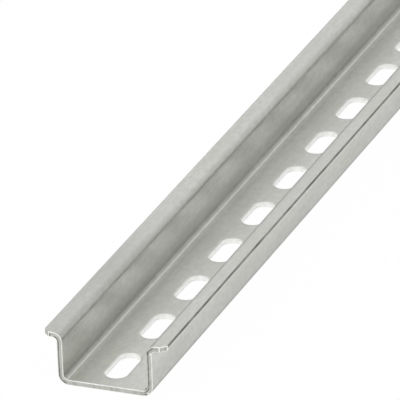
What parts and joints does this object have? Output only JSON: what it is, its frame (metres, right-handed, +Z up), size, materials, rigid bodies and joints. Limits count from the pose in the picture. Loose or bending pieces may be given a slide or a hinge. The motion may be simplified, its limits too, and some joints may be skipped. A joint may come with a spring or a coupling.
{
  "type": "din rail",
  "caption": "Top-hat mounting rail bent from zinc-plated steel strip, with a row of round-ended slots in its floor and two lips that devices clip onto.",
  "frame": {"origin": "middle of the underside of the floor, in the plane that the rail is screwed to", "axes": "+X along the rail, +Y across it, +Z up from the floor to the lips"},
  "size_m": [1, 0.035, 0.015],
  "materials": {
    "zinc_plated_steel": "satin zinc plating, pale grey with faint streaks along the rail"
  },
  "bodies": {
    "root": {"rail": "zinc_plated_steel"}
  },
  "joints": []
}
